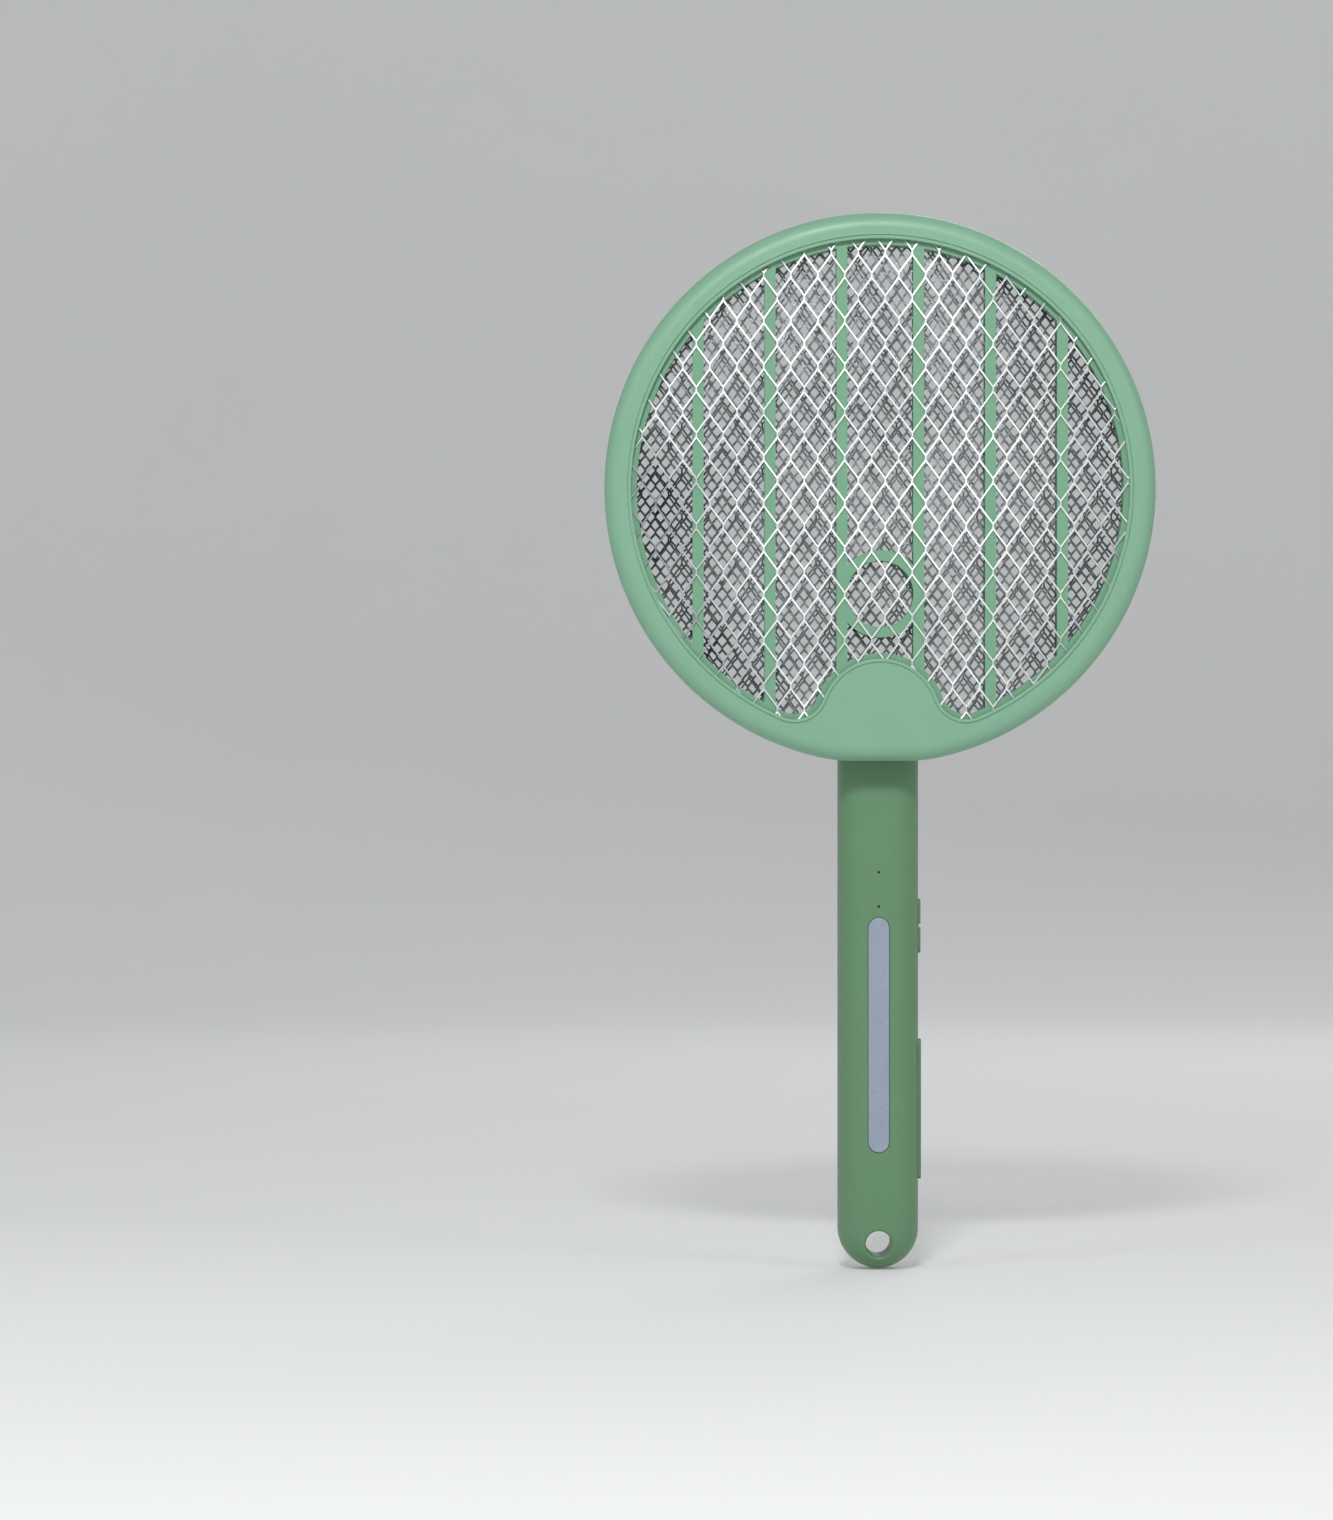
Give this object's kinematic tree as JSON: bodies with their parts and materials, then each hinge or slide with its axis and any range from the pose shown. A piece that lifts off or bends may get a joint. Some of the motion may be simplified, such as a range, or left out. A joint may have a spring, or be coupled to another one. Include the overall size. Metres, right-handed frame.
{
  "type": "electric bug zapper",
  "caption": "Folding electric insect swatter: round netted head that swivels half a turn on a bar handle with a lamp strip, side key and slide switch.",
  "frame": {"origin": "axis of the hang hole at the handle's lower end, at the handle's mid thickness", "axes": "+Z along the handle towards the head, +X to the right seen from the front, the face of the head and the lamp look to -Y"},
  "size_m": [0.22, 0.0455, 0.423],
  "materials": {
    "green_plastic": "satin",
    "net_metal": "bright",
    "nickel": "plated",
    "wire_insulation": "smooth",
    "screw_steel": "zinc plated",
    "hub_plastic": "natural",
    "nylon": "natural",
    "lamp_cover": "frosted",
    "board": "solder mask",
    "led_white": "moulded",
    "ferrite": "sintered",
    "capacitor_skin": "dipped",
    "component_black": "moulded",
    "cell_sleeve": "shrunk sleeve"
  },
  "bodies": {
    "handle": {"friction_washer": "nylon", "handle_front_shell": "green_plastic", "handle_rear_shell": "green_plastic", "handle_screws": "screw_steel", "lamp_diffuser": "lamp_cover", "lamp_board": "board", "uv_leds": "led_white", "indicator_leds": "led_white", "link_pins": "nickel", "main_board": "board", "transformer": "ferrite", "hv_capacitor": "capacitor_skin", "rectifier_diodes": "component_black", "control_chip": "component_black", "tact_switch": "component_black", "slide_switch": "nickel", "usb_socket": "nickel", "battery_cell": "cell_sleeve", "battery_tabs": "nickel", "battery_wires": "wire_insulation", "hub_wires": "wire_insulation"},
    "head": {"front_rim": "green_plastic", "rear_rim": "green_plastic", "front_grille": "green_plastic", "rear_grille": "green_plastic", "front_mesh": "net_metal", "kill_mesh": "net_metal", "rear_mesh": "net_metal", "contact_tabs": "nickel", "net_wires": "wire_insulation", "rim_screws": "screw_steel", "swivel_hub": "hub_plastic", "hub_screws": "screw_steel", "stop_pin": "screw_steel", "retaining_ring": "screw_steel", "spring_washer": "screw_steel"},
    "slider": {"mode_slider": "green_plastic", "switch_lever": "component_black"},
    "key": {"trigger_key": "green_plastic", "tact_plunger": "component_black"}
  },
  "joints": [
    {"name": "head_swivel", "type": "hinge", "parent": "handle", "child": "head", "pos_m": [0, 0, 0.2167], "axis": [0, -1, 0], "range_deg": [0, 180]},
    {"name": "mode_slide", "type": "slide", "parent": "handle", "child": "slider", "axis": [0, 0, 1], "range_m": [-0.002, 0.002]},
    {"name": "trigger_press", "type": "slide", "parent": "handle", "child": "key", "axis": [-1, 0, 0], "range_m": [0, 0.001], "stiffness_N_per_m": 1500, "springref_m": -0.0005}
  ]
}
